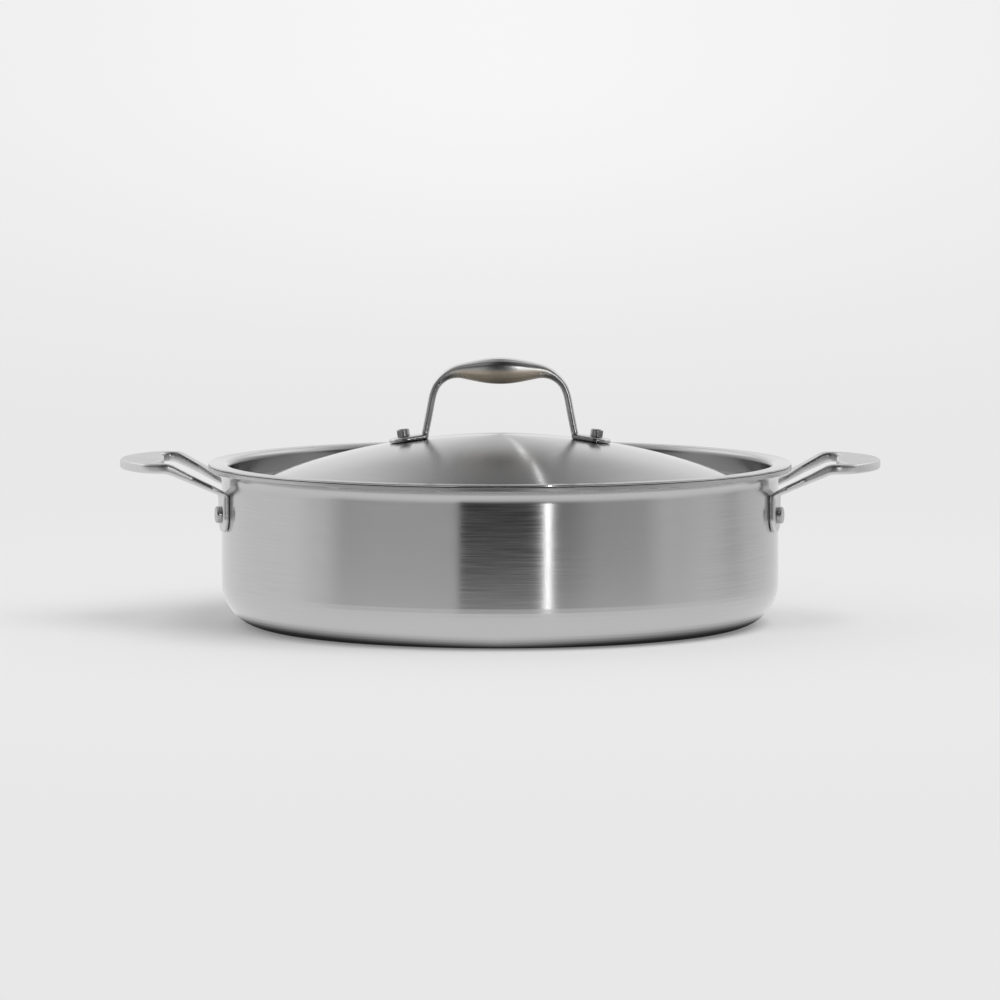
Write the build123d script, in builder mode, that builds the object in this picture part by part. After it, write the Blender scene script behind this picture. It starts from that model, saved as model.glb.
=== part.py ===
from build123d import *
from math import asin, atan2, cos, degrees, radians, sin, sqrt, tan
import os

# A braiser: a wide, low pan of steel bonded to an aluminium core, with two
# riveted loop handles, and a domed lid with a riveted bow handle.
# Millimetres. Z is up, X runs through the side handles, Z = 0 is the base.

# Pan
pan_radius = 152.4
pan_height = 87.5
base_corner_radius = 22.9
lip_flare_radius = 6.6
lip_flat = 0.6
outer_ply = 0.5
core_ply = 1.5
inner_ply = 0.5

# Lid sheet
lid_sheet = 0.9
lid_seat_gap = 0.3
lid_wall_gap = 0.8
flange_bend_radius = 3.5
moat_bend_radius = 4
dome_radius = 360
step_depth = 14.7

# Loop handles at the sides
handle_reach = 55.8
tip_curve_radius = 72
loop_corner_radius = 16
arm_width = 8.5
arm_taper_length = 10
arm_slope = 28
arm_root_drop = 13
arm_root_thickness = 3.3
arm_underside_slope = 23
arm_bend_radius = 12
grip_depth = 24
grip_end_depth = 19
grip_thickness = 5.4
grip_overlap = 1
grip_rise = 3.5
opening_corner_radius = 6
taper_bend_radius = 12
ear_width = 16
ear_thickness = 3.1
ear_gap = 0.1
ear_tail = 9.7
ear_bend_radius = 6
loop_edge_radius = 1.1

# Rivets of the loop handles
rivet_spacing = 73.6
rivet_drop = 24.8
rivet_shank_radius = 2.6
rivet_head_radius = 4.55
rivet_head_height = 2.7
rivet_head_round = 0.8
rivet_tail_radius = 5.6
rivet_tail_height = 1.8

# Bow handle of the lid
bow_height = 41.9
crown_half_length = 20.2
shoulder_radius = 17
leg_lean = 11
grip_height = 14
grip_width = 20
leg_thickness = 4
leg_width = 10.6
swell_power = 3
bow_steps = 24
foot_thickness = 2.5
foot_width = 17
foot_gap = 0.1

# Rivets of the bow handle
lid_rivet_offset = 52.3
lid_rivet_shank_radius = 2.4
lid_rivet_head_radius = 3.45
lid_rivet_head_height = 4.1
lid_rivet_head_round = 0.5
lid_rivet_rim = 0.8
lid_rivet_dish = 0.5
lid_rivet_dish_slope = 60
lid_rivet_tail_radius = 5.2
lid_rivet_tail_height = 1.4

outer_round_share = 0.28
inner_round_share = 0.45

# How far cutting shapes run past what they cut
overrun = 10

os.makedirs("parts", exist_ok=True)


# Pan: three bonded plies that follow one profile
wall = outer_ply + core_ply + inner_ply
lip_radius = pan_radius + lip_flare_radius + lip_flat
inner_radius = pan_radius - wall
flare_foot = pan_height - wall - lip_flare_radius


def pan_profile(depth):
    """Draw the pan's outer face, moved inwards by depth, from the axis to the lip."""
    corner_centre = (pan_radius - base_corner_radius, base_corner_radius)
    flare_centre = (pan_radius + lip_flare_radius, flare_foot)
    base = Line((0, depth), (corner_centre[0], depth))
    corner = CenterArc(corner_centre, base_corner_radius - depth, -90, 90)
    side = Line(corner @ 1, (pan_radius - depth, flare_foot))
    flare = CenterArc(flare_centre, lip_flare_radius + depth, 180, -90)
    lip = Line(flare @ 1, (lip_radius, flare_centre[1] + lip_flare_radius + depth))
    return base @ 0, lip @ 1


def pan_ply(outer_depth, thickness):
    """Revolve the layer that lies between two depths under the outer face."""
    with BuildPart() as ply:
        with BuildSketch(Plane.XZ):
            with BuildLine():
                axis_low, lip_low = pan_profile(outer_depth)
                axis_high, lip_high = pan_profile(outer_depth + thickness)
                Line(axis_low, axis_high)
                Line(lip_low, lip_high)
            make_face()
        revolve(axis=Axis.Z)
    return ply.part


# Rivets: one lathe-turned form serves both sizes
def rivet_plane(turn):
    """Plane on an ear's face that looks outwards, turned about the pan's axis."""
    outwards = Vector(1, 0, 0).rotate(Axis.Z, turn)
    sideways = Vector(0, 1, 0).rotate(Axis.Z, turn)
    origin = outwards * ear_face_radius + Vector(0, 0, rivet_height)
    return Plane(origin, x_dir=sideways, z_dir=outwards)


def lid_rivet_plane(side):
    """Plane on a foot of the bow handle, square to the dome."""
    lean = side * lid_rivet_lean
    outwards = Vector(sin(lean), 0, cos(lean))
    origin = Vector(0, 0, dome_centre) + outwards * (dome_radius + foot_gap + foot_thickness)
    return Plane(origin, x_dir=(0, 1, 0), z_dir=outwards)


def rivet(face, shank_radius, grip, head_radius, head_height, head_round, tail_radius, tail_height):
    """Turn a rivet: head on the face, shank down through grip, formed tail below."""
    with BuildPart() as turned:
        with BuildSketch(Plane(face.origin, x_dir=face.x_dir, z_dir=-face.y_dir)):
            with BuildLine():
                crown = (0, -grip - tail_height)
                mid_tail = (tail_radius * sin(radians(45)), -grip - tail_height * cos(radians(45)))
                tail = ThreePointArc(crown, mid_tail, (tail_radius, -grip))
                Polyline(
                    tail @ 1,
                    (shank_radius, -grip),
                    (shank_radius, 0),
                    (head_radius, 0),
                    (head_radius, head_height),
                    (0, head_height),
                    crown,
                )
            profile = make_face()
            rim = profile.vertices().sort_by_distance((head_radius, head_height))[0]
            fillet(rim, radius=head_round)
        revolve(axis=Axis(face.origin, face.z_dir))
    return turned.part


def rivet_bore(face, shank_radius):
    """Cutting rod for a rivet's shank."""
    with BuildPart() as bore:
        with BuildSketch(face):
            Circle(shank_radius)
        extrude(amount=overrun, both=True)
    return bore.part


rivet_height = pan_height - rivet_drop
seat_radius = pan_radius + ear_gap
ear_face_radius = seat_radius + ear_thickness
rivet_turn = degrees(asin(rivet_spacing / 2 / ear_face_radius))
rivet_turns = {
    "rivet_right_front": -rivet_turn,
    "rivet_right_back": rivet_turn,
    "rivet_left_back": 180 - rivet_turn,
    "rivet_left_front": 180 + rivet_turn,
}
tail_standoff = inner_radius - sqrt(inner_radius**2 - rivet_tail_radius**2)
rivet_grip = ear_thickness + ear_gap + wall + tail_standoff
side_bores = [rivet_bore(rivet_plane(turn), rivet_shank_radius) for turn in rivet_turns.values()]

nodes = {}
for name, turn in rivet_turns.items():
    nodes[name] = rivet(
        rivet_plane(turn),
        rivet_shank_radius,
        rivet_grip,
        rivet_head_radius,
        rivet_head_height,
        rivet_head_round,
        rivet_tail_radius,
        rivet_tail_height,
    )

plies = {
    "pan_outer_ply": (0, outer_ply),
    "pan_core": (outer_ply, core_ply),
    "pan_inner_ply": (outer_ply + core_ply, inner_ply),
}
for name, (outer_depth, thickness) in plies.items():
    with BuildPart() as ply:
        add(pan_ply(outer_depth, thickness))
        add(side_bores, mode=Mode.SUBTRACT)
    nodes[name] = ply.part


# Loop handle: two straps leave the wall square to it, bend level and carry a
# slab, and the whole is cut to the loop's outline and the ears' outline
grip_tip = pan_radius + handle_reach
grip_top = pan_height + grip_rise
grip_bottom = grip_top - grip_thickness
grip_inside = grip_tip - grip_depth
arm_root = pan_height - arm_root_drop
arm_rise = tan(radians(arm_slope))
underside_rise = tan(radians(arm_underside_slope))
underside_root = arm_root + ear_thickness * arm_rise - arm_root_thickness
top_bend = seat_radius + (grip_top - arm_root) / arm_rise
bottom_bend = ear_face_radius + (grip_bottom - underside_root) / underside_rise
ear_bottom = rivet_height - ear_tail
ear_top = underside_root - ear_bend_radius
taper_start = ear_face_radius + ear_bend_radius
taper_end = taper_start + arm_taper_length
tip_centre = grip_tip - tip_curve_radius


def strap_point(distance, offset):
    """Plan point at a distance along the back strap and an offset to its outer side."""
    turn = radians(rivet_turn)
    return (
        distance * cos(turn) - offset * sin(turn),
        distance * sin(turn) + offset * cos(turn),
    )


def mirrored(points):
    """Points of the back half, then their mirror images of the front half."""
    return points + [(x, -y) for x, y in reversed(points)]


tip_offset = arm_width / 2 + tip_centre * sin(radians(rivet_turn))
loop_corner = tip_centre * cos(radians(rivet_turn)) + sqrt(tip_curve_radius**2 - tip_offset**2)
opening_corner = (grip_tip - grip_end_depth) / cos(radians(rivet_turn))
loop_outside = mirrored(
    [
        strap_point(loop_corner, arm_width / 2),
        strap_point(taper_end, arm_width / 2),
        strap_point(taper_start, ear_width / 2),
        strap_point(pan_radius - overrun, ear_width / 2),
    ]
)
loop_inside = mirrored(
    [
        strap_point(opening_corner, -arm_width / 2),
        strap_point(taper_end, -arm_width / 2),
        strap_point(taper_start, -ear_width / 2),
        strap_point(pan_radius - overrun, -ear_width / 2),
    ]
)


def bent_strap(turn):
    """Ear, bend, sloping arm and level end, drawn side on and given their width."""
    start = pan_radius - overrun
    with BuildPart() as strap:
        with BuildSketch(Plane.XZ.rotated((0, 0, turn))):
            with BuildLine():
                Polyline(
                    (start, ear_bottom),
                    (ear_face_radius, ear_bottom),
                    (ear_face_radius, underside_root),
                    (bottom_bend, grip_bottom),
                    (grip_inside + overrun, grip_bottom),
                    (grip_inside + overrun, grip_top),
                    (top_bend, grip_top),
                    (start, arm_root - (seat_radius - start) * arm_rise),
                    close=True,
                )
            side = make_face()
            level_bends = [
                side.vertices().sort_by_distance(point)[0]
                for point in ((top_bend, grip_top), (bottom_bend, grip_bottom))
            ]
            ear_bend = side.vertices().sort_by_distance((ear_face_radius, underside_root))[0]
            fillet(level_bends, radius=arm_bend_radius)
            fillet(ear_bend, radius=ear_bend_radius)
        extrude(amount=ear_width, both=True)
    return strap.part


def sharp_edges(solid, least_turn=20):
    """Edges where two faces of the solid meet at a real corner."""
    meeting = {}
    for face in solid.faces():
        for edge in face.edges():
            meeting.setdefault(edge, []).append(face)
    sharp = ShapeList()
    for edge, faces in meeting.items():
        if len(faces) == 2:
            first, second = (face.normal_at(edge @ 0.5) for face in faces)
            if first.get_angle(second) > least_turn:
                sharp.append(edge)
    return sharp


with BuildPart() as loop_bars:
    add(bent_strap(-rivet_turn))
    add(bent_strap(rivet_turn))
    with BuildSketch(Plane.XY.offset(grip_bottom)):
        with Locations((grip_inside - grip_overlap, 0)):
            Rectangle(grip_depth + overrun, pan_radius, align=(Align.MIN, Align.CENTER))
    extrude(amount=grip_thickness)

with BuildPart() as wall_space:
    with BuildSketch():
        Circle(seat_radius)
    extrude(amount=pan_height + overrun)

with BuildPart() as handle_right:
    with BuildSketch(Plane.XY.offset(ear_top)) as loop_outline:
        with BuildLine():
            outside = Polyline(*loop_outside)
            ThreePointArc(outside @ 1, (grip_tip, 0), outside @ 0)
        make_face()
        corners = loop_outline.vertices().group_by(Axis.X)
        fillet(corners[-1], radius=loop_corner_radius)
        fillet(corners[-2] + corners[-3], radius=taper_bend_radius)
        with BuildSketch(mode=Mode.SUBTRACT) as opening:
            with BuildLine():
                inside = Polyline(*loop_inside)
                ThreePointArc(inside @ 1, (grip_inside, 0), inside @ 0)
            make_face()
            corners = opening.vertices().group_by(Axis.X)
            fillet(corners[-1], radius=opening_corner_radius)
            fillet(corners[-2] + corners[-3], radius=taper_bend_radius)
    extrude(amount=grip_top + overrun - ear_top)
    for turn in (-rivet_turn, rivet_turn):
        with BuildSketch(rivet_plane(turn)):
            with Locations((0, ear_bottom + ear_width / 2 - rivet_height)):
                Circle(ear_width / 2)
                ear_straight = ear_top - ear_bottom - ear_width / 2
                Rectangle(ear_width, ear_straight, align=(Align.CENTER, Align.MIN))
        extrude(amount=-ear_thickness - ear_gap - overrun)
    add(loop_bars.part, mode=Mode.INTERSECT)
    add(wall_space.part, mode=Mode.SUBTRACT)
    seats = handle_right.faces().filter_by(
        lambda face: face.geom_type == GeomType.CYLINDER and abs(face.radius - seat_radius) < ear_gap / 2
    )
    rounded = sharp_edges(handle_right.part)
    rounded = ShapeList(edge for edge in rounded if edge not in seats.edges())
    fillet(rounded, radius=loop_edge_radius)
    add(side_bores, mode=Mode.SUBTRACT)
nodes["handle_right"] = handle_right.part

with BuildPart() as handle_left:
    mirror(handle_right.part, about=Plane.YZ)
nodes["handle_left"] = handle_left.part


# Lid: one sheet that follows the flange, the step down inside the pan and the dome
flange_top = pan_height + lid_seat_gap + lid_sheet
step_radius = inner_radius - lid_wall_gap - lid_sheet
flange_bend_centre = (step_radius + flange_bend_radius, flange_top - flange_bend_radius)
moat_out = step_radius - moat_bend_radius
moat_centre = (moat_out, flange_top - step_depth + moat_bend_radius)
moat_rise = sqrt((dome_radius + moat_bend_radius) ** 2 - moat_out**2)
dome_edge_angle = degrees(atan2(moat_rise, moat_out))
dome_centre = moat_centre[1] - moat_rise
dome_top = dome_centre + dome_radius
lid_rivet_lean = asin(lid_rivet_offset / dome_radius)
lid_rivet_tail_standoff = dome_radius - sqrt(dome_radius**2 - lid_rivet_tail_radius**2)
lid_rivet_grip = foot_thickness + foot_gap + lid_sheet + lid_rivet_tail_standoff
lid_rivets = {"lid_rivet_left": -1, "lid_rivet_right": 1}
lid_bores = [rivet_bore(lid_rivet_plane(side), lid_rivet_shank_radius) for side in lid_rivets.values()]


def lid_profile(depth):
    """Draw the lid's top face, moved into the sheet by depth, from the rim to the axis."""
    rim = (lip_radius, flange_top - depth)
    bend = CenterArc(flange_bend_centre, flange_bend_radius - depth, 90, 90)
    moat = CenterArc(moat_centre, moat_bend_radius + depth, 0, dome_edge_angle - 180)
    dome = CenterArc((0, dome_centre), dome_radius - depth, dome_edge_angle, 90 - dome_edge_angle)
    Line(rim, bend @ 0)
    Line(bend @ 1, moat @ 0)
    return rim, dome @ 1


with BuildPart() as lid_shell:
    with BuildSketch(Plane.XZ):
        with BuildLine():
            rim_top, axis_top = lid_profile(0)
            rim_low, axis_low = lid_profile(lid_sheet)
            Line(rim_top, rim_low)
            Line(axis_top, axis_low)
        make_face()
    revolve(axis=Axis.Z)
    add(lid_bores, mode=Mode.SUBTRACT)
nodes["lid_shell"] = lid_shell.part

for name, side in lid_rivets.items():
    head_face = lid_rivet_plane(side)
    with BuildPart() as lid_rivet:
        add(
            rivet(
                head_face,
                lid_rivet_shank_radius,
                lid_rivet_grip,
                lid_rivet_head_radius,
                lid_rivet_head_height,
                lid_rivet_head_round,
                lid_rivet_tail_radius,
                lid_rivet_tail_height,
            )
        )
        with BuildSketch(head_face.offset(lid_rivet_head_height)):
            Circle(lid_rivet_head_radius - lid_rivet_rim)
        extrude(amount=-lid_rivet_dish, taper=lid_rivet_dish_slope, mode=Mode.SUBTRACT)
    nodes[name] = lid_rivet.part


# Bow handle: a bar swept along the bow, thick and wide at the grip, on two
# feet that are slices of a shell over the dome
crown_level = dome_top + bow_height - grip_height / 2
leg_rise = cos(radians(leg_lean))
leg_run = sin(radians(leg_lean))
shoulder_x = crown_half_length + shoulder_radius * leg_rise
shoulder_z = crown_level - shoulder_radius * (1 - leg_run)
leg_length = (shoulder_z - dome_top + overrun) / leg_rise
foot_heel = shoulder_x + (shoulder_z - dome_top) * leg_run / leg_rise

with BuildLine(Plane.XZ) as bow:
    left_end = (-shoulder_x - leg_length * leg_run, shoulder_z - leg_length * leg_rise)
    left_leg = Line(left_end, (-shoulder_x, shoulder_z))
    left_shoulder = JernArc(left_leg @ 1, left_leg % 1, shoulder_radius, leg_lean - 90)
    crown = Line(left_shoulder @ 1, (crown_half_length, crown_level))
    right_shoulder = JernArc(crown @ 1, crown % 1, shoulder_radius, leg_lean - 90)
    Line(right_shoulder @ 1, (-left_end[0], left_end[1]))
bow_line = bow.wire()
swell_reach = crown_half_length + left_shoulder.length


def bar_section(distance):
    """Outline square to the bow, a distance along it, rounder inside than outside."""
    from_middle = abs(distance - bow_line.length / 2)
    swell = cos(radians(90) * min(from_middle / swell_reach, 1)) ** swell_power
    height = leg_thickness + (grip_height - leg_thickness) * swell
    width = leg_width + (grip_width - leg_width) * swell
    centre = bow_line.position_at(distance, position_mode=PositionMode.LENGTH)
    along = bow_line.tangent_at(distance, position_mode=PositionMode.LENGTH)
    with BuildSketch(Plane(centre, x_dir=(0, 1, 0), z_dir=along)) as section:
        Rectangle(width, height)
        fillet(section.vertices().group_by(Axis.Y)[-1], radius=height * outer_round_share)
        fillet(section.vertices().group_by(Axis.Y)[0], radius=height * inner_round_share)
    return section.sketch


def dome_slice(height):
    """Solid from well under the dome's crown up to a height over its top face."""
    reach = foot_heel + lid_rivet_offset
    radius = dome_radius + height
    edge = dome_centre + sqrt(radius**2 - reach**2)
    with BuildPart() as below:
        with BuildSketch(Plane.XZ):
            with BuildLine():
                cap = RadiusArc((0, dome_centre + radius), (reach, edge), radius)
                Polyline(cap @ 1, (reach, edge - overrun), (0, edge - overrun), cap @ 0)
            make_face()
        revolve(axis=Axis.Z)
    return below.part


with BuildPart() as lid_handle:
    for side in lid_rivets.values():
        with BuildSketch(Plane.XY.offset(dome_top - overrun)):
            with Locations((side * foot_heel, 0)):
                Rectangle(leg_thickness, leg_width)
            with Locations((side * lid_rivet_offset, 0)):
                Circle(foot_width / 2)
            make_hull()
        extrude(amount=overrun + foot_thickness)
    add(dome_slice(foot_gap + foot_thickness), mode=Mode.INTERSECT)
    step = bow_line.length / bow_steps
    loft(sections=[bar_section(step * index) for index in range(bow_steps + 1)])
    add(dome_slice(foot_gap), mode=Mode.SUBTRACT)
    add(lid_bores, mode=Mode.SUBTRACT)
nodes["lid_handle"] = lid_handle.part

for name, node in nodes.items():
    node.label = name
    export_step(node, f"parts/{name}.step")
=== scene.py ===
# %% [markdown]
# A braiser: a wide, low steel pan with two cast loop handles and a domed lid.
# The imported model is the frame. It gives every piece its place and its size,
# and the cells below give each piece a smooth mesh and a finish around it.

# %% Load the frame
from math import asin, atan2, cos, degrees, pi, radians, sin, sqrt

import bmesh
import bpy
import numpy as np
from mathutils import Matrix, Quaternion, Vector


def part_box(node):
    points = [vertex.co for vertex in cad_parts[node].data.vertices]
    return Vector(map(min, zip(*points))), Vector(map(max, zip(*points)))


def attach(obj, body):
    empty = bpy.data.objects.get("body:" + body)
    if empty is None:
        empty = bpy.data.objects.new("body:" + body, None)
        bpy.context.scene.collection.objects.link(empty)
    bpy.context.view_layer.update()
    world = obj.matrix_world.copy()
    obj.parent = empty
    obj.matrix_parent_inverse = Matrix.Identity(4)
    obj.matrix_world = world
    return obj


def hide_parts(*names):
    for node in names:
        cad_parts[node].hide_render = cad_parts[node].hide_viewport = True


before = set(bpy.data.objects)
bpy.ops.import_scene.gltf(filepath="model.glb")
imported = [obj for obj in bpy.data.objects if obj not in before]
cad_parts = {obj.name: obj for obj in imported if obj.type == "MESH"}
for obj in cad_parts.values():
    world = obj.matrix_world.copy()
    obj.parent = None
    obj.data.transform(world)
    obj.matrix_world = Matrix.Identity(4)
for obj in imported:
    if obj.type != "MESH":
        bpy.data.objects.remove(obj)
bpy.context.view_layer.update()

# %% [markdown]
# The photograph was taken with a long lens from about three and a half metres,
# a little above the lid. A long lens keeps the ellipses of the rim and the base
# nearly alike, so the camera stands as far away here too. The pan is turned by
# a fraction of a degree, which is given to the camera instead.

# %% Camera
camera_distance = 3.431
camera_height = 0.3565
camera_tilt = radians(4.811)
camera_turn = radians(0.65)
focal_pixels = 6282
image_pixels = 1000
sensor = 36

lens = bpy.data.cameras.new("camera")
lens.sensor_width = sensor
lens.lens = focal_pixels / image_pixels * sensor
lens.clip_end = 50
camera = bpy.data.objects.new("camera", lens)
camera.location = (
    camera_distance * sin(camera_turn),
    -camera_distance * cos(camera_turn),
    camera_height,
)
camera.rotation_euler = (pi / 2 - camera_tilt, 0, camera_turn)
bpy.context.scene.collection.objects.link(camera)
bpy.context.scene.camera = camera
print("camera:", round(lens.lens, 1), "mm lens at", [round(v, 3) for v in camera.location])

# %% [markdown]
# Shader maths reads best as plain expressions. A Value wraps one output socket,
# and each operator adds the Math node that it stands for, so `1 - mask * 0.5`
# builds three nodes. Every other node comes from `Tree.node`, which sets the
# node's own settings first and then fills or links its sockets.

# %% Shader expressions
class Value:
    """One socket's number, on which sums and products add Math nodes."""

    def __init__(self, tree, socket):
        self.tree = tree
        self.socket = socket

    def math(self, operation, *others):
        """Add a Math node that starts from this value."""
        values = dict(enumerate([self, *others]))
        node = self.tree.node("ShaderNodeMath", {"operation": operation}, values)
        return Value(self.tree, node.outputs[0])

    def __add__(self, other):
        return self.math("ADD", other)

    def __sub__(self, other):
        return self.math("SUBTRACT", other)

    def __mul__(self, other):
        return self.math("MULTIPLY", other)

    def __truediv__(self, other):
        return self.math("DIVIDE", other)

    def __rsub__(self, other):
        return (self * -1) + other

    __radd__ = __add__
    __rmul__ = __mul__

    def smooth(self, low, high):
        """0 on low's side and 1 on high's, with an easy curve between. low may be the larger."""
        if low > high:
            return 1 - self.smooth(high, low)
        settings = {"interpolation_type": "SMOOTHSTEP"}
        ends = {"Value": self, "From Min": low, "From Max": high}
        node = self.tree.node("ShaderNodeMapRange", settings, ends)
        return Value(self.tree, node.outputs["Result"])


class Tree:
    """A node tree, of a shader or of geometry, that is filled by calls."""

    def __init__(self, tree):
        self.tree = tree
        tree.nodes.clear()

    def node(self, kind, settings=None, values=None):
        """Add a node. "stops" among its settings fills a colour ramp with greys."""
        made = self.tree.nodes.new(kind)
        for name, setting in (settings or {}).items():
            if name == "stops":
                ramp = made.color_ramp
                while len(ramp.elements) < len(setting):
                    ramp.elements.new(1)
                for element, (place, tone) in zip(ramp.elements, setting):
                    element.position = place
                    element.color = (tone, tone, tone, 1)
            else:
                setattr(made, name, setting)
        for name, value in (values or {}).items():
            socket = made.inputs[name]
            if isinstance(value, Value):
                self.tree.links.new(value.socket, socket)
            elif isinstance(value, bpy.types.NodeSocket):
                self.tree.links.new(value, socket)
            else:
                socket.default_value = value
        return made

    def value(self, kind, output, settings=None, values=None):
        return Value(self, self.node(kind, settings, values).outputs[output])

    def split(self, vector):
        """The X, Y and Z of a vector, each as a Value."""
        node = self.node("ShaderNodeSeparateXYZ", None, {"Vector": vector})
        return [Value(self, socket) for socket in node.outputs]

    def vector(self, x, y, z):
        return self.node("ShaderNodeCombineXYZ", None, {"X": x, "Y": y, "Z": z}).outputs[0]

    def noise(self, vector, scale, detail=2, rough=0.5):
        """Noise from 0 to 1, about 0.5 on the average."""
        values = {"Vector": vector, "Scale": scale, "Detail": detail, "Roughness": rough}
        return self.value("ShaderNodeTexNoise", "Fac", None, values)

    def mix(self, share, first, second):
        """A colour between two colours."""
        values = {"Factor": share, "A": first, "B": second}
        return self.node("ShaderNodeMix", {"data_type": "RGBA"}, values).outputs["Result"]


def grey(tone):
    """A colour without hue, from one linear tone."""
    return (tone, tone, tone, 1)


def from_srgb(level):
    """Linear tone of an 8-bit level that is read off a picture."""
    share = level / 255
    return ((share + 0.055) / 1.055) ** 2.4


def material(name):
    """A new material, its shader and its surface output."""
    made = bpy.data.materials.new(name)
    made.use_nodes = True
    shader = Tree(made.node_tree)
    return made, shader, shader.node("ShaderNodeOutputMaterial")


def ray_kinds(shader):
    """Whether a ray comes from a reflection, and whether it comes from the camera."""
    paths = shader.node("ShaderNodeLightPath")
    return [Value(shader, paths.outputs[kind]) for kind in ("Is Glossy Ray", "Is Camera Ray")]


print("shader expressions: 1 - mask * 0.5 and the like")

# %% [markdown]
# Brushed steel shows the room more than its own colour, so the room is half of
# the look. The pan's wall is a convex mirror: a point that faces the camera at
# an angle shows the room at twice that angle. Read backwards, the bands on the
# photographed wall give the room: a dark gap around the camera, pale panels on
# both sides, and a pale sweep behind. The dome shows what lies higher up behind
# the pan, dark in the middle and bright to the sides. The bow grip's upper front
# shows that it is dark high up in front. The world holds these tones by
# direction, for reflections alone. The camera sees a pale wall with a faint glow.

# %% Room seen in reflections
room_bands = [
    (-180, 0.86),
    (-150, 0.78),
    (-76, 0.76),
    (-66, 0.50),
    (-52, 0.53),
    (-17.5, 0.54),
    (-15.5, 0.02),
    (13, 0.02),
    (24, 0.20),
    (40, 0.44),
    (60, 0.47),
    (70, 0.66),
    (98, 0.58),
    (108, 0.47),
    (116, 0.60),
    (180, 0.86),
]
ambient = 0.56

# Each pair says where a change starts and where it is complete: as a rise in
# radians, or else as a coordinate of a direction that is 1 long. This is the
# room behind and above. just_over_one keeps a divisor above 0 at the zenith.
ceiling_tone = 0.27
ceiling_rise = (radians(15), radians(30))
ceiling_depth = (-0.3, 0.1)
side_tone = 1.15
side_span = (0.04, 0.4)
zenith_share = 0.4
zenith_span = (0.6, 0.85)
just_over_one = 1.0001

# The room in front is dark from the horizon up, and less so further up.
front_dark_share = 0.84
front_depth = (-0.1, 0.2)
front_rise = (radians(-2), radians(7))
front_ease = 0.6
ease_rise = (radians(18), radians(38))

# The wall that the camera sees is plain below, and glows a little in its middle.
wall_tone = from_srgb(232)
glow_tone = from_srgb(246)
glow_rise = (radians(-4.5), radians(-0.8))
glow_centre = -0.012
glow_half_width = 0.11
glow_least = 0.45


def room_tone(shader, east, south):
    """Tone of the room by the turn from the camera's side, from -180 to 180 degrees."""
    turn = east.math("ARCTAN2", south) - camera_turn
    place = turn / (2 * pi) + 0.5
    stops = [((angle + 180) / 360, tone) for angle, tone in room_bands]
    ramp = shader.node("ShaderNodeValToRGB", {"stops": stops}, {"Fac": place})
    return Value(shader, ramp.outputs["Color"])


world = bpy.data.worlds.new("studio")
world.use_nodes = True
bpy.context.scene.world = world
sky = Tree(world.node_tree)
x, y, z = sky.split(sky.node("ShaderNodeTexCoord").outputs["Generated"])
south = y * -1
rise = z.math("ARCSINE")
walls = room_tone(sky, x, south)
level = (just_over_one - z * z).math("SQRT")
toward_sides = (x.math("ABSOLUTE") / level).smooth(*side_span)
ceiling = ceiling_tone + toward_sides * (side_tone - ceiling_tone)
height = rise.smooth(*ceiling_rise) * y.smooth(*ceiling_depth)
overhead = 1 - z.smooth(*zenith_span) * (1 - zenith_share)
front = south.smooth(*front_depth) * rise.smooth(*front_rise)
front_dark = front * (1 - rise.smooth(*ease_rise) * front_ease)
room = (walls * (1 - height) + ceiling * height) * overhead * (1 - front_dark * front_dark_share)
upward = rise.smooth(*glow_rise)
centred = 1 - (x - glow_centre).math("ABSOLUTE").smooth(0, glow_half_width)
glow = upward * (glow_least + centred * (1 - glow_least))
shown = wall_tone + glow * (glow_tone - wall_tone)
glossy, seen = ray_kinds(sky)
rest = (1 - seen - glossy).math("MAXIMUM", 0.0)
tone = seen * shown + glossy * room + rest * ambient
back = sky.node("ShaderNodeBackground", None, {"Color": grey(1), "Strength": tone})
sky.node("ShaderNodeOutputWorld", None, {"Surface": back.outputs[0]})
print("room:", len(room_bands), "bands around the pan")

# %% [markdown]
# The floor is a pale sheet. Near the pan it is a lit surface, which takes the
# pan's soft shadow, and further off it fades into the same tone as the wall, so
# that no horizon shows. In reflections it is pale near the pan, dark right under
# the pan's edge, where no light gets in, and from some way off it repeats the
# room's bands: the dark gap on the wall grows lighter downwards for that reason.

# %% Floor
floor_half = 1.2
floor_grey = 0.86

# Distances from the pan's axis, between which the reflected floor turns from
# dark to pale, and from pale to the room's bands. The dark ring is a little wider
# at the sides. A convex mirror's focus lies half its radius from its axis.
contact_tone = 0.02
contact_span = (0.134, 0.147)
side_contact = 0.045
bands_span = (0.17, 0.5)
mirror_focus = 0.0762

# Distances between which the lit floor fades into the wall's tone.
lit_share = 0.76
lit_fade = (0.35, 0.9)

corners = [(x * floor_half, y * floor_half, 0) for x, y in ((-1, -1), (1, -1), (1, 1), (-1, 1))]
floor_mesh = bpy.data.meshes.new("floor")
floor_mesh.from_pydata(corners, [], [(0, 1, 2, 3)])
floor = bpy.data.objects.new("floor", floor_mesh)
bpy.context.scene.collection.objects.link(floor)
floor_look, shader, surface = material("pale_floor")
x, y, z = shader.split(shader.node("ShaderNodeTexCoord").outputs["Object"])
distance = (x * x + y * y).math("SQRT")
bands = room_tone(shader, x, (y + mirror_focus) * -1)
reach = distance.smooth(*bands_span)
contact = (distance - x.math("ABSOLUTE") * side_contact).smooth(*contact_span)
reflected = (reach * bands + (1 - reach) * wall_tone) * contact + (1 - contact) * contact_tone
glossy, seen = ray_kinds(shader)
plain = shader.node("ShaderNodeBsdfDiffuse", None, {"Color": grey(floor_grey)})
strength = glossy * reflected + seen * wall_tone
shown = shader.node("ShaderNodeEmission", None, {"Color": grey(1), "Strength": strength})
even = 1 - lit_share * (1 - distance.smooth(*lit_fade))
mixed = {"Fac": seen * even + glossy, 1: plain.outputs[0], 2: shown.outputs[0]}
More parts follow.
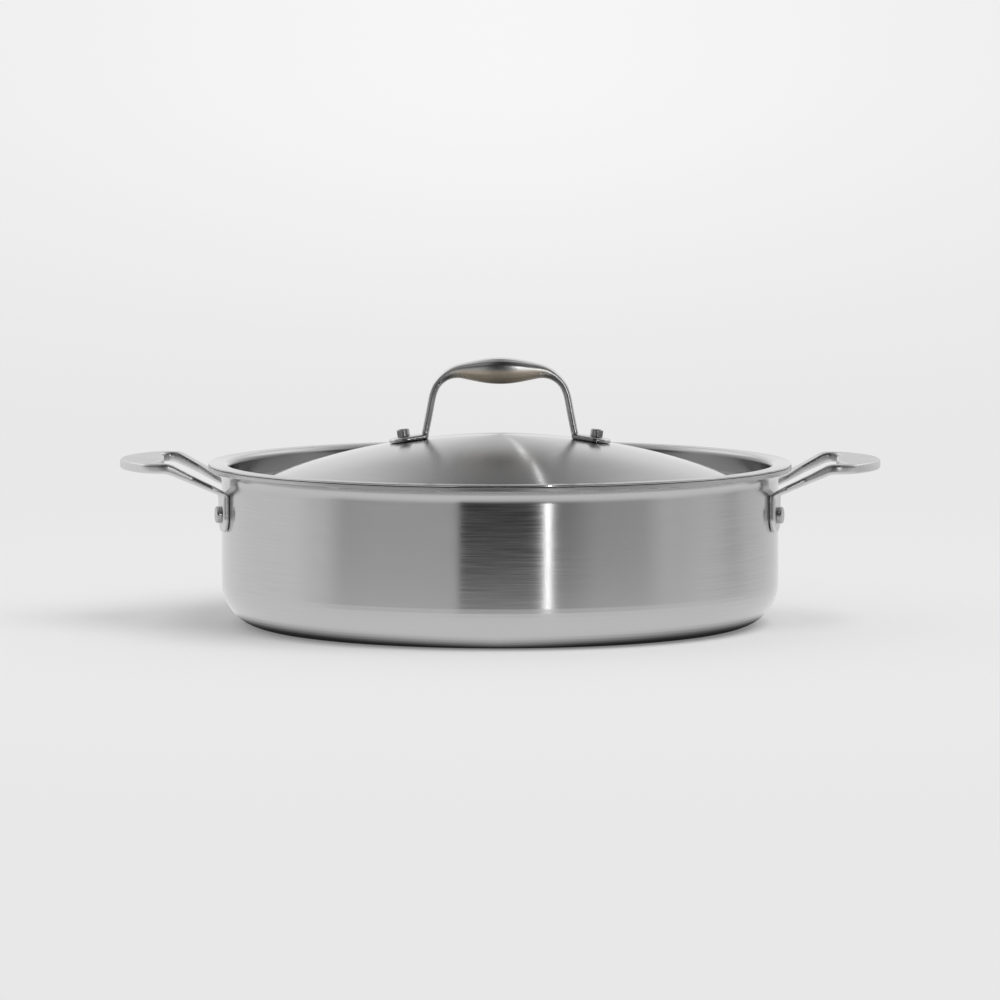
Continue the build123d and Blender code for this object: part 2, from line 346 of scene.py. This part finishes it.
both = shader.node("ShaderNodeMixShader", None, mixed)
shader.tree.links.new(both.outputs[0], surface.inputs["Surface"])
floor_mesh.materials.append(floor_look)
print("floor tone:", round(wall_tone, 3))

# %% [markdown]
# One large soft light stands high on the right, so the pan's shadow falls to
# the left as in the photograph. It is a sun with a wide disc, because a sun
# lights the whole floor alike. A tall narrow lamp in front on the right is the
# white streak on the wall. A thin one high up behind the pan leans so that every
# part of it shows on one radius of the lid, which is the streak there.

# %% Lamps
def placed(light, turn, rise, distance, roll=0):
    """Put a light at a turn to the right of the camera, facing the pan."""
    made = bpy.data.objects.new(light.name, light)
    turn = radians(turn)
    rise = radians(rise)
    away = Vector((sin(turn) * cos(rise), -cos(turn) * cos(rise), sin(rise)))
    made.location = away * distance
    facing = away.to_track_quat("Z", "Y") @ Quaternion((0, 0, 1), radians(roll))
    made.rotation_euler = facing.to_euler()
    bpy.context.scene.collection.objects.link(made)
    return made


def strip(name, turn, rise, distance, width, height, power, roll=0):
    """A narrow upright lamp that only shows in reflections."""
    light = bpy.data.lights.new(name, "AREA")
    light.shape = "RECTANGLE"
    light.size = width
    light.size_y = height
    light.energy = power
    made = placed(light, turn, rise, distance, roll)
    made.visible_diffuse = False
    return made


key_light = bpy.data.lights.new("key", "SUN")
key_light.energy = 1.5
key_light.angle = radians(48)
key = placed(key_light, turn=56, rise=58, distance=3)
key.visible_glossy = False
wall_streak = strip(
    "wall_streak", turn=19.5, rise=5.5, distance=3, width=0.09, height=0.55, power=2.7
)
lid_streak = strip(
    "lid_streak", turn=176.8, rise=38, distance=2.5, width=0.008, height=1.3, power=0.115, roll=10
)
print("lamps:", key.name, wall_streak.name, lid_streak.name)

# %% [markdown]
# The pan is pressed from one bonded sheet, steel on aluminium on steel, and
# everything about it is round. So each of its three plies is one outline turned
# about Z. The outline is written with the sheet's real radii. Depth is measured
# from the outer face into the sheet, so one function serves every ply.

# %% Outlines
mm = 0.001
pan_radius = 152.4 * mm
base_corner_radius = 22.9 * mm
lip_flare_radius = 6.6 * mm
lip_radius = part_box("pan_core")[1].x
pan_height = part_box("pan_inner_ply")[1].z
outer_ply = 0.5 * mm
core_ply = 1.5 * mm
inner_ply = 0.5 * mm
edge_round = 0.28 * mm
edge_round_points = 6
support = 0.12 * mm
long_run = 8 * support
wall = outer_ply + core_ply + inner_ply


def arc(centre, radius, start, end, step=6):
    """Points on an arc from one angle to another, in degrees."""
    count = max(2, round(abs(end - start) / step) + 1)
    angles = np.radians(np.linspace(start, end, count))
    return [(centre[0] + radius * cos(a), centre[1] + radius * sin(a)) for a in angles]


def supported(points):
    """Add points near both ends and in the middle of each long run, which keeps flats flat."""
    result = [points[0]]
    for before, after in zip(points, points[1:]):
        run = Vector(after) - Vector(before)
        if run.length > long_run:
            for share in (support / run.length, 0.5, 1 - support / run.length):
                result.append(tuple(Vector(before) + run * share))
        result.append(after)
    return result


def pan_outline(depth):
    """The pan's section at a depth in the sheet, from the axis to the lip."""
    corner = (pan_radius - base_corner_radius, base_corner_radius)
    flare = (pan_radius + lip_flare_radius, pan_height - wall - lip_flare_radius)
    points = [(0, depth)]
    points += arc(corner, base_corner_radius - depth, -90, 0)
    points += arc(flare, lip_flare_radius + depth, 180, 90)
    points.append((lip_radius, pan_height - wall + depth))
    return points


def rounded_end(points, radius):
    """Round the square corner at an outline's last point but one."""
    first, corner, last = (Vector(point) for point in points[-3:])
    into = (first - corner).normalized()
    out = (last - corner).normalized()
    centre = corner + (into + out) * radius
    angles = np.radians(np.linspace(0, 90, edge_round_points))
    bend = [centre - out * radius * cos(a) - into * radius * sin(a) for a in angles]
    return points[:-2] + [tuple(point) for point in bend] + [tuple(last)]


def ply_outline(depth, thickness, round_low=False, round_high=False):
    """Closed section of one ply: out along its lower face, round the lip, back on top."""
    low = pan_outline(depth)
    high = pan_outline(depth + thickness)
    middle = (lip_radius, (low[-1][1] + high[-1][1]) / 2)
    if round_low:
        low = rounded_end(low + [middle], edge_round)
    if round_high:
        high = rounded_end(high + [middle], edge_round)
    return supported(low + high[::-1])


print("pan:", round(pan_radius / mm, 1), "mm radius,", round(pan_height / mm, 1), "mm high")

# %% [markdown]
# A lathe is a rule, so it is a Geometry Nodes tree: a grid has one column of
# points for each step round the axis, each point takes its place from the
# outline's point of the same row, and turns by its column's angle. Merging
# closes the seam and the pole.

# %% Lathe tree
merge_distance = 1e-6


def lathe_tree():
    """Geometry nodes that turn an outline in the XZ plane about the Z axis."""
    group = bpy.data.node_groups.new("lathe", "GeometryNodeTree")
    sockets = group.interface
    sockets.new_socket("Outline", in_out="INPUT", socket_type="NodeSocketGeometry")
    sockets.new_socket("Segments", in_out="INPUT", socket_type="NodeSocketInt")
    sockets.new_socket("Finish", in_out="INPUT", socket_type="NodeSocketMaterial")
    sockets.new_socket("Turned", in_out="OUTPUT", socket_type="NodeSocketGeometry")
    tree = Tree(group)
    given = tree.node("NodeGroupInput").outputs
    counted = {"Geometry": given["Outline"]}
    rows = tree.value("GeometryNodeAttributeDomainSize", "Point Count", None, counted)
    segments = Value(tree, given["Segments"])
    corners = {"Vertices X": segments + 1, "Vertices Y": rows}
    grid = tree.node("GeometryNodeMeshGrid", None, corners)
    index = tree.value("GeometryNodeInputIndex", "Index")
    column = ((index + 0.5) / rows).math("FLOOR")
    row = index - column * rows
    place = tree.node("GeometryNodeInputPosition").outputs[0]
    sampled = {"Geometry": given["Outline"], "Value": place, "Index": row}
    outline = tree.node("GeometryNodeSampleIndex", {"data_type": "FLOAT_VECTOR"}, sampled)
    turned = {"Vector": outline.outputs[0], "Angle": column * (2 * pi) / segments}
    turn = tree.node("ShaderNodeVectorRotate", {"rotation_type": "Z_AXIS"}, turned)
    moved = {"Geometry": grid.outputs["Mesh"], "Position": turn.outputs[0]}
    surface = tree.node("GeometryNodeSetPosition", None, moved)
    joined = {"Geometry": surface.outputs[0], "Distance": merge_distance}
    merged = tree.node("GeometryNodeMergeByDistance", None, joined)
    smooth = tree.node("GeometryNodeSetShadeSmooth", None, {"Geometry": merged.outputs[0]})
    realized = tree.node("GeometryNodeRealizeInstances", None, {"Geometry": smooth.outputs[0]})
    finished = {"Geometry": realized.outputs[0], "Material": given["Finish"]}
    finish = tree.node("GeometryNodeSetMaterial", None, finished)
    tree.node("NodeGroupOutput", None, {"Turned": finish.outputs[0]})
    return group


def set_input(modifier, name, value):
    """Fill a tree's named input through its identifier."""
    for item in modifier.node_group.interface.items_tree:
        if item.in_out == "INPUT" and item.name == name:
            modifier[item.identifier] = value


def baked(maker, name):
    """A plain object with the evaluated mesh of one that carries modifiers."""
    depsgraph = bpy.context.evaluated_depsgraph_get()
    mesh = bpy.data.meshes.new_from_object(maker.evaluated_get(depsgraph))
    mesh.name = name
    bm = bmesh.new()
    bm.from_mesh(mesh)
    bmesh.ops.recalc_face_normals(bm, faces=bm.faces)
    bm.to_mesh(mesh)
    bm.free()
    source = maker.data
    bpy.data.objects.remove(maker)
    bpy.data.meshes.remove(source)
    piece = bpy.data.objects.new(name, mesh)
    bpy.context.scene.collection.objects.link(piece)
    print(name + ":", len(mesh.polygons), "faces")
    return piece


lathe = lathe_tree()


def turned_piece(name, outline, finish, segments=288):
    """Turn an outline of (radius, height) points into a piece."""
    mesh = bpy.data.meshes.new(name + "_outline")
    steps = [(i, i + 1) for i in range(len(outline) - 1)]
    mesh.from_pydata([(r, 0, z) for r, z in outline], steps, [])
    maker = bpy.data.objects.new(name + "_outline", mesh)
    bpy.context.scene.collection.objects.link(maker)
    modifier = maker.modifiers.new("lathe", "NODES")
    modifier.node_group = lathe
    set_input(modifier, "Segments", segments)
    set_input(modifier, "Finish", finish)
    return baked(maker, name)


print("lathe:", len(lathe.nodes), "nodes")

# %% [markdown]
# Brushing leaves thousands of fine scratches that run round the wall and in
# circles on the lid. Two things show them. Each scratch is a groove, so light
# spreads across it and not along it: that is the anisotropy, turned by a
# quarter. And the scratches differ a little in tone, depth and polish, which a
# noise shows that is stretched along them. The noise changes fast with radius
# plus height, which grows along most of the outline, and slowly round the axis.
# The wall's scratches differ most in polish, which roughens its bright line's edges.

# %% Brushed steel
drift_per_m = 26
patches_per_m = 14
scratch_light = 1.02
scratch_dark = 0.97
scratch_span = (0.25, 0.75)
patch_polish = 0.04
noise_mean = 0.5
quarter_turn = 0.25
relief_depth = 0.1 * mm
# Painted shade for the lid's trough: how dark it is, and over what radius and height it fades in.
painted_shade_share = 0.45
painted_shade_side = (1.5 * mm, 0.7 * mm)
painted_shade_top = (0.5 * mm, 2.5 * mm)


def brushed_steel(name, tone, roughness, spread, lines_per_m, strength, ragged=0.05, painted_trough_shade=None):
    """Steel with scratches that run in circles about the Z axis.

    Where a painted_trough_shade is given as (radius, height), shade is painted into
    the colour outside that radius and below that height.
    """
    made, shader, surface = material(name)
    place = shader.node("ShaderNodeTexCoord").outputs["Object"]
    x, y, z = shader.split(place)
    distance = (x * x + y * y).math("SQRT")
    along = (distance + z) * lines_per_m
    stretched = shader.vector(x * drift_per_m, y * drift_per_m, along)
    scratches = shader.noise(stretched, scale=1, detail=3, rough=0.6)
    patches = shader.noise(place, scale=patches_per_m)
    light = grey(tone * scratch_light)
    dark = grey(tone * scratch_dark)
    colour = shader.mix(scratches.smooth(*scratch_span), dark, light)
    # Painted shade: the colour is darkened in the trough by the lid's step, where little light gets in.
    if painted_trough_shade:
        radius, height = painted_trough_shade
        out = distance.smooth(radius - painted_shade_side[0], radius - painted_shade_side[1])
        low = z.smooth(height - painted_shade_top[0], height - painted_shade_top[1])
        colour = shader.mix(out * low, colour, grey(tone * painted_shade_share))
    rough = roughness + (scratches - noise_mean) * ragged + (patches - noise_mean) * patch_polish
    relief = {"Strength": strength, "Distance": relief_depth, "Height": scratches}
    bump = shader.node("ShaderNodeBump", None, relief)
    steel = shader.node(
        "ShaderNodeBsdfPrincipled",
        None,
        {
            "Base Color": colour,
            "Metallic": 1,
            "Roughness": rough,
            "Anisotropic": spread,
            "Anisotropic Rotation": quarter_turn,
            "Normal": bump.outputs[0],
        },
    )
    shader.tree.links.new(steel.outputs[0], surface.inputs["Surface"])
    return made


wall_steel = brushed_steel(
    "wall_steel", tone=0.6, roughness=0.2, spread=0.9, lines_per_m=2100, strength=0.03, ragged=0.3
)
inside_steel = brushed_steel(
    "inside_steel", tone=0.6, roughness=0.3, spread=0.8, lines_per_m=2200, strength=0.06
)
core_metal = brushed_steel(
    "core_metal", tone=0.6, roughness=0.38, spread=0.4, lines_per_m=2500, strength=0.02
)
print("brushed steels: wall, inside, core")

# %% [markdown]
# The three plies only show together at the lip, where they were cut and
# polished, so the outer and the inner ply have a small round there.

# %% Pan
outer_outline = ply_outline(0, outer_ply, round_low=True)
core_outline = ply_outline(outer_ply, core_ply)
inner_outline = ply_outline(wall - inner_ply, inner_ply, round_high=True)
ply_outer = turned_piece("pan_outer", outer_outline, wall_steel)
ply_core = turned_piece("pan_middle", core_outline, core_metal)
ply_inner = turned_piece("pan_inner", inner_outline, inside_steel)
for piece, node, slot in (
    (ply_outer, "pan_outer_ply", "outer_steel"),
    (ply_core, "pan_core", "aluminium_core"),
    (ply_inner, "pan_inner_ply", "inner_steel"),
):
    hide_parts(node)
    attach(piece, "pan")

# %% [markdown]
# The lid is one thin sheet. Its flange lies on the lip, a step drops inside the
# wall and keeps it in place, and the dome rises from a small trough. Little light
# gets in between the step and the wall, so shade is painted into the colour there:
# the steel is darker on the step.

# %% Lid
lid_sheet = 0.9 * mm
lid_wall_gap = 0.8 * mm
flange_bend_radius = 3.5 * mm
trough_bend_radius = 4 * mm
dome_radius = 360 * mm
dome_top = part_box("lid_shell")[1].z
lid_seat_gap = 0.3 * mm
flange_top = pan_height + lid_seat_gap + lid_sheet
dome_centre = dome_top - dome_radius
step_radius = pan_radius - wall - lid_wall_gap - lid_sheet
lid_steel = brushed_steel(
    "lid_steel",
    tone=0.6,
    roughness=0.165,
    spread=1.0,
    lines_per_m=3200,
    strength=0.02,
    painted_trough_shade=(step_radius, flange_top),
)


def lid_outline(depth):
    """The lid's section at a depth in the sheet, from the rim to the axis."""
    bend = (step_radius + flange_bend_radius, flange_top - flange_bend_radius)
    trough_out = step_radius - trough_bend_radius
    trough = (trough_out, dome_centre + sqrt((dome_radius + trough_bend_radius) ** 2 - trough_out**2))
    dome_edge = degrees(atan2(trough[1] - dome_centre, trough_out))
    points = [(lip_radius, flange_top - depth)]
    points += arc(bend, flange_bend_radius - depth, 90, 180)
    points += arc(trough, trough_bend_radius + depth, 0, dome_edge - 180)
    points += arc((0, dome_centre), dome_radius - depth, dome_edge, 90, step=0.8)
    return points[:-1] + [(0, dome_top - depth)]


top = lid_outline(0)
under = lid_outline(lid_sheet)
rim_middle = (lip_radius, flange_top - lid_sheet / 2)
top = rounded_end(top[::-1] + [rim_middle], edge_round)
under = rounded_end(under[::-1] + [rim_middle], edge_round)
lid_sheet_piece = turned_piece("lid_sheet", supported(top + under[::-1]), lid_steel)
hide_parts("lid_shell")
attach(lid_sheet_piece, "lid")

# %% [markdown]
# The handles are cast, so they have no sharp corner anywhere: where an arm
# meets its ear, or a leg its foot, the metal runs over in a soft fillet. A
# voxel remesh of the CAD solid gives one even skin, and smoothing passes melt
# its edges and inner corners as a mould does. On the belly of the bow's grip, a
# painted reflection of something pale and warm below tints the colour, a painted
# reflection of the dark lid darkens its lowest part, and the finish is less
# metallic there, so that the painted colour shows.

# %% Cast steel
grain_per_m = 1600
grain_span = (0.3, 0.7)
grain_dark = 0.94
grain_light = 1.04
grain_polish = 0.04
grain_relief = 0.01
polish_patches_per_m = 45
polish_change = 0.10
# Painted reflections on the bow grip's belly: a pale, warm one tints it, and one of the dark lid darkens
# its lowest part.
painted_reflection_tint = (0.62, 0.54, 0.43, 1)
painted_reflection_edge = 1.5 * mm
painted_reflection_sides = (31 * mm, 17 * mm)
painted_reflection_metal_loss = 0.45
painted_dark_reflection_tint = (0.18, 0.16, 0.13, 1)
painted_dark_reflection_heights = (136 * mm, 131 * mm)


def cast_steel(name, tone, roughness, painted_reflection_from=None):
    """Satin cast steel with a fine grain. Below a given height, painted reflections tint the grip's
    belly: pale and straw-coloured, and dark lowest down.
    """
    made, shader, surface = material(name)
    place = shader.node("ShaderNodeTexCoord").outputs["Object"]
    grain = shader.noise(place, scale=grain_per_m, rough=0.6)
    patches = shader.noise(place, scale=polish_patches_per_m, detail=3, rough=0.55)
    colour = shader.mix(grain.smooth(*grain_span), grey(tone * grain_dark), grey(tone * grain_light))
    metal = 1
    if painted_reflection_from is not None:
        x, y, z = shader.split(place)
        # Painted reflection: below a height, in the middle of the grip, the colour is tinted as if it
        # showed something pale and warm below.
        below = z.smooth(painted_reflection_from + painted_reflection_edge, painted_reflection_from - painted_reflection_edge)
        painted_reflection_mask = below * x.math("ABSOLUTE").smooth(*painted_reflection_sides)
        colour = shader.mix(painted_reflection_mask, colour, painted_reflection_tint)
        # Painted reflection: the dark lid's reflection darkens the colour on the lowest part.
        colour = shader.mix(z.smooth(*painted_dark_reflection_heights) * painted_reflection_mask, colour, painted_dark_reflection_tint)
        # Less metallic where the painted reflection is, so that its colour shows.
        metal = 1 - painted_reflection_mask * painted_reflection_metal_loss
    rough = roughness + (patches - noise_mean) * polish_change + (grain - noise_mean) * grain_polish
    relief = {"Strength": grain_relief, "Distance": relief_depth, "Height": grain}
    bump = shader.node("ShaderNodeBump", None, relief)
    steel = shader.node(
        "ShaderNodeBsdfPrincipled",
        None,
        {"Base Color": colour, "Metallic": metal, "Roughness": rough, "Normal": bump.outputs[0]},
    )
    shader.tree.links.new(steel.outputs[0], surface.inputs["Surface"])
    return made


loop_steel = cast_steel("loop_handle_steel", tone=0.74, roughness=0.3)
bow_steel = cast_steel("bow_handle_steel", tone=0.76, roughness=0.26, painted_reflection_from=139.5 * mm)
skin_voxel = 0.33 * mm
soften_factor = 0.5
soften_passes = 50


def casting(name, node, finish):
    """A closed, evenly meshed skin over a CAD node, with its edges softened."""
    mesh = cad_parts[node].data.copy()
    bm = bmesh.new()
    bm.from_mesh(mesh)
    bmesh.ops.remove_doubles(bm, verts=bm.verts, dist=merge_distance)
    bm.to_mesh(mesh)
    bm.free()
    mesh.materials.clear()
    mesh.materials.append(finish)
    maker = bpy.data.objects.new(name + "_maker", mesh)
    bpy.context.scene.collection.objects.link(maker)
    skin = maker.modifiers.new("skin", "REMESH")
    skin.mode = "VOXEL"
    skin.voxel_size = skin_voxel
    skin.use_smooth_shade = True
    soften = maker.modifiers.new("soften", "SMOOTH")
    soften.factor = soften_factor
    soften.iterations = soften_passes
    return baked(maker, name)


for name, node, body, finish in (
    ("loop_handle_left", "handle_left", "pan", loop_steel),
    ("loop_handle_right", "handle_right", "pan", loop_steel),
    ("bow_handle", "lid_handle", "lid", bow_steel),
):
    piece = casting(name, node, finish)
    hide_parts(node)
    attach(piece, body)

# %% [markdown]
# The six rivets are turned pins of two sizes: a head outside, a shank through
# handle and sheet, and a formed tail inside. One pin of each size is made on the
# lathe. A second tree stands a copy on each point that it is given and turns it
# to the direction stored there, so four pins on the wall are one small piece.

# %% Rivet tree
def rivet_tree():
    """Geometry nodes that set a turned pin on every point, facing the point's direction."""
    group = bpy.data.node_groups.new("rivets", "GeometryNodeTree")
    sockets = group.interface
    sockets.new_socket("Seats", in_out="INPUT", socket_type="NodeSocketGeometry")
    sockets.new_socket("Pin", in_out="INPUT", socket_type="NodeSocketObject")
    sockets.new_socket("Finish", in_out="INPUT", socket_type="NodeSocketMaterial")
    sockets.new_socket("Rivets", in_out="OUTPUT", socket_type="NodeSocketGeometry")
    tree = Tree(group)
    given = tree.node("NodeGroupInput").outputs
    pin = tree.node("GeometryNodeObjectInfo", None, {"Object": given["Pin"]})
    named = {"Name": "outwards"}
    outwards = tree.node("GeometryNodeInputNamedAttribute", {"data_type": "FLOAT_VECTOR"}, named)
    aimed = {"Vector": outwards.outputs["Attribute"]}
    turn = tree.node("FunctionNodeAlignRotationToVector", {"axis": "Z"}, aimed)
    copied = {"Points": given["Seats"], "Instance": pin.outputs["Geometry"], "Rotation": turn.outputs[0]}
    copies = tree.node("GeometryNodeInstanceOnPoints", None, copied)
    realized = tree.node("GeometryNodeRealizeInstances", None, {"Geometry": copies.outputs[0]})
    finished = {"Geometry": realized.outputs[0], "Material": given["Finish"]}
    finish = tree.node("GeometryNodeSetMaterial", None, finished)
    tree.node("NodeGroupOutput", None, {"Rivets": finish.outputs[0]})
    return group


under_round = 0.2 * mm
tail_points = 9
dish_wall_share = 0.8


def pin_outline(shank, grip, head, tail, dish=None):
    """Section of a rivet from the middle of its tail to the middle of its head.

    The head is a radius, a height and the radius of its edge, the tail a radius and
    a height, and the dish the width of its rim and its depth.
    """
    tail_radius, tail_height = tail
    head_radius, head_height, head_round = head
    angles = np.radians(np.linspace(0, 90, tail_points))
    points = [(tail_radius * sin(a), -grip - tail_height * cos(a)) for a in angles]
    points += [(shank, -grip), (shank, 0), (head_radius - under_round, 0), (head_radius, under_round)]
    points += arc((head_radius - head_round, head_height - head_round), head_round, 0, 90, step=15)
    if dish:
        rim, depth = dish
        edge = head_radius - rim
        points += [(edge, head_height), (edge - depth, head_height - depth * dish_wall_share)]
        points += [(edge - 2 * depth, head_height - depth), (0, head_height - depth)]
    else:
        points.append((0, head_height))
    return supported(points)


rivets_on_points = rivet_tree()
rivet_steel = cast_steel("rivet_steel", 0.5, 0.25)


def rivet_piece(name, outline, seats, nodes, body):
    """All rivets of one size as a piece. A seat is a place and the direction out of it."""
    pin = turned_piece(name + "_pin", outline, rivet_steel, segments=64)
    mesh = bpy.data.meshes.new(name + "_seats")
    mesh.from_pydata([tuple(place) for place, outwards in seats], [], [])
    facing = mesh.attributes.new("outwards", "FLOAT_VECTOR", "POINT")
    for stored, (place, outwards) in zip(facing.data, seats):
        stored.vector = outwards
    maker = bpy.data.objects.new(name + "_seats", mesh)
    bpy.context.scene.collection.objects.link(maker)
    modifier = maker.modifiers.new("rivets", "NODES")
    modifier.node_group = rivets_on_points
    set_input(modifier, "Pin", pin)
    set_input(modifier, "Finish", rivet_steel)
    piece = baked(maker, name)
    pin_mesh = pin.data
    bpy.data.objects.remove(pin)
    bpy.data.meshes.remove(pin_mesh)
    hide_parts(*nodes)
    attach(piece, body)


# %% [markdown]
# The seats follow the same sizes as the solids. On the wall, each is on the outer
# face of an ear, square to the wall. On the lid, each is on top of a foot of the
# bow handle, square to the dome.

# %% Rivets
ear_gap = 0.1 * mm
ear_thickness = 3.1 * mm
rivet_drop = 24.8 * mm
rivet_reach = 36.8 * mm
ear_face = pan_radius + ear_gap + ear_thickness
rivet_height = pan_height - rivet_drop
rivet_turn = asin(rivet_reach / ear_face)
side_seats = []
for side in (-1, 1):
    for turn in (-rivet_turn, rivet_turn):
        outwards = Vector((side * cos(turn), sin(turn), 0))
        side_seats.append((outwards * ear_face + Vector((0, 0, rivet_height)), outwards))
side_pin = pin_outline(
    shank=2.6 * mm,
    grip=5.8 * mm,
    head=(4.55 * mm, 2.7 * mm, 0.8 * mm),
    tail=(5.6 * mm, 1.8 * mm),
)
side_nodes = [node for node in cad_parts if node.startswith("rivet_")]
rivet_piece("side_rivets", side_pin, side_seats, side_nodes, "pan")

foot_gap = 0.1 * mm
foot_thickness = 2.5 * mm
lid_rivet_reach = 52.3 * mm
foot_top = dome_radius + foot_gap + foot_thickness
lid_rivet_lean = asin(lid_rivet_reach / dome_radius)
lid_seats = []
for side in (-1, 1):
    outwards = Vector((side * sin(lid_rivet_lean), 0, cos(lid_rivet_lean)))
    lid_seats.append((Vector((0, 0, dome_centre)) + outwards * foot_top, outwards))
lid_pin = pin_outline(
    shank=2.4 * mm,
    grip=3.54 * mm,
    head=(3.45 * mm, 4.1 * mm, 0.5 * mm),
    tail=(5.2 * mm, 1.4 * mm),
    dish=(0.8 * mm, 0.5 * mm),
)
lid_nodes = [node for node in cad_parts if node.startswith("lid_rivet")]
rivet_piece("lid_rivets", lid_pin, lid_seats, lid_nodes, "lid")

# %% [markdown]
# The view settings stay plain, so a tone renders about as it is written.

# %% Finish
bpy.context.scene.view_settings.view_transform = "Standard"
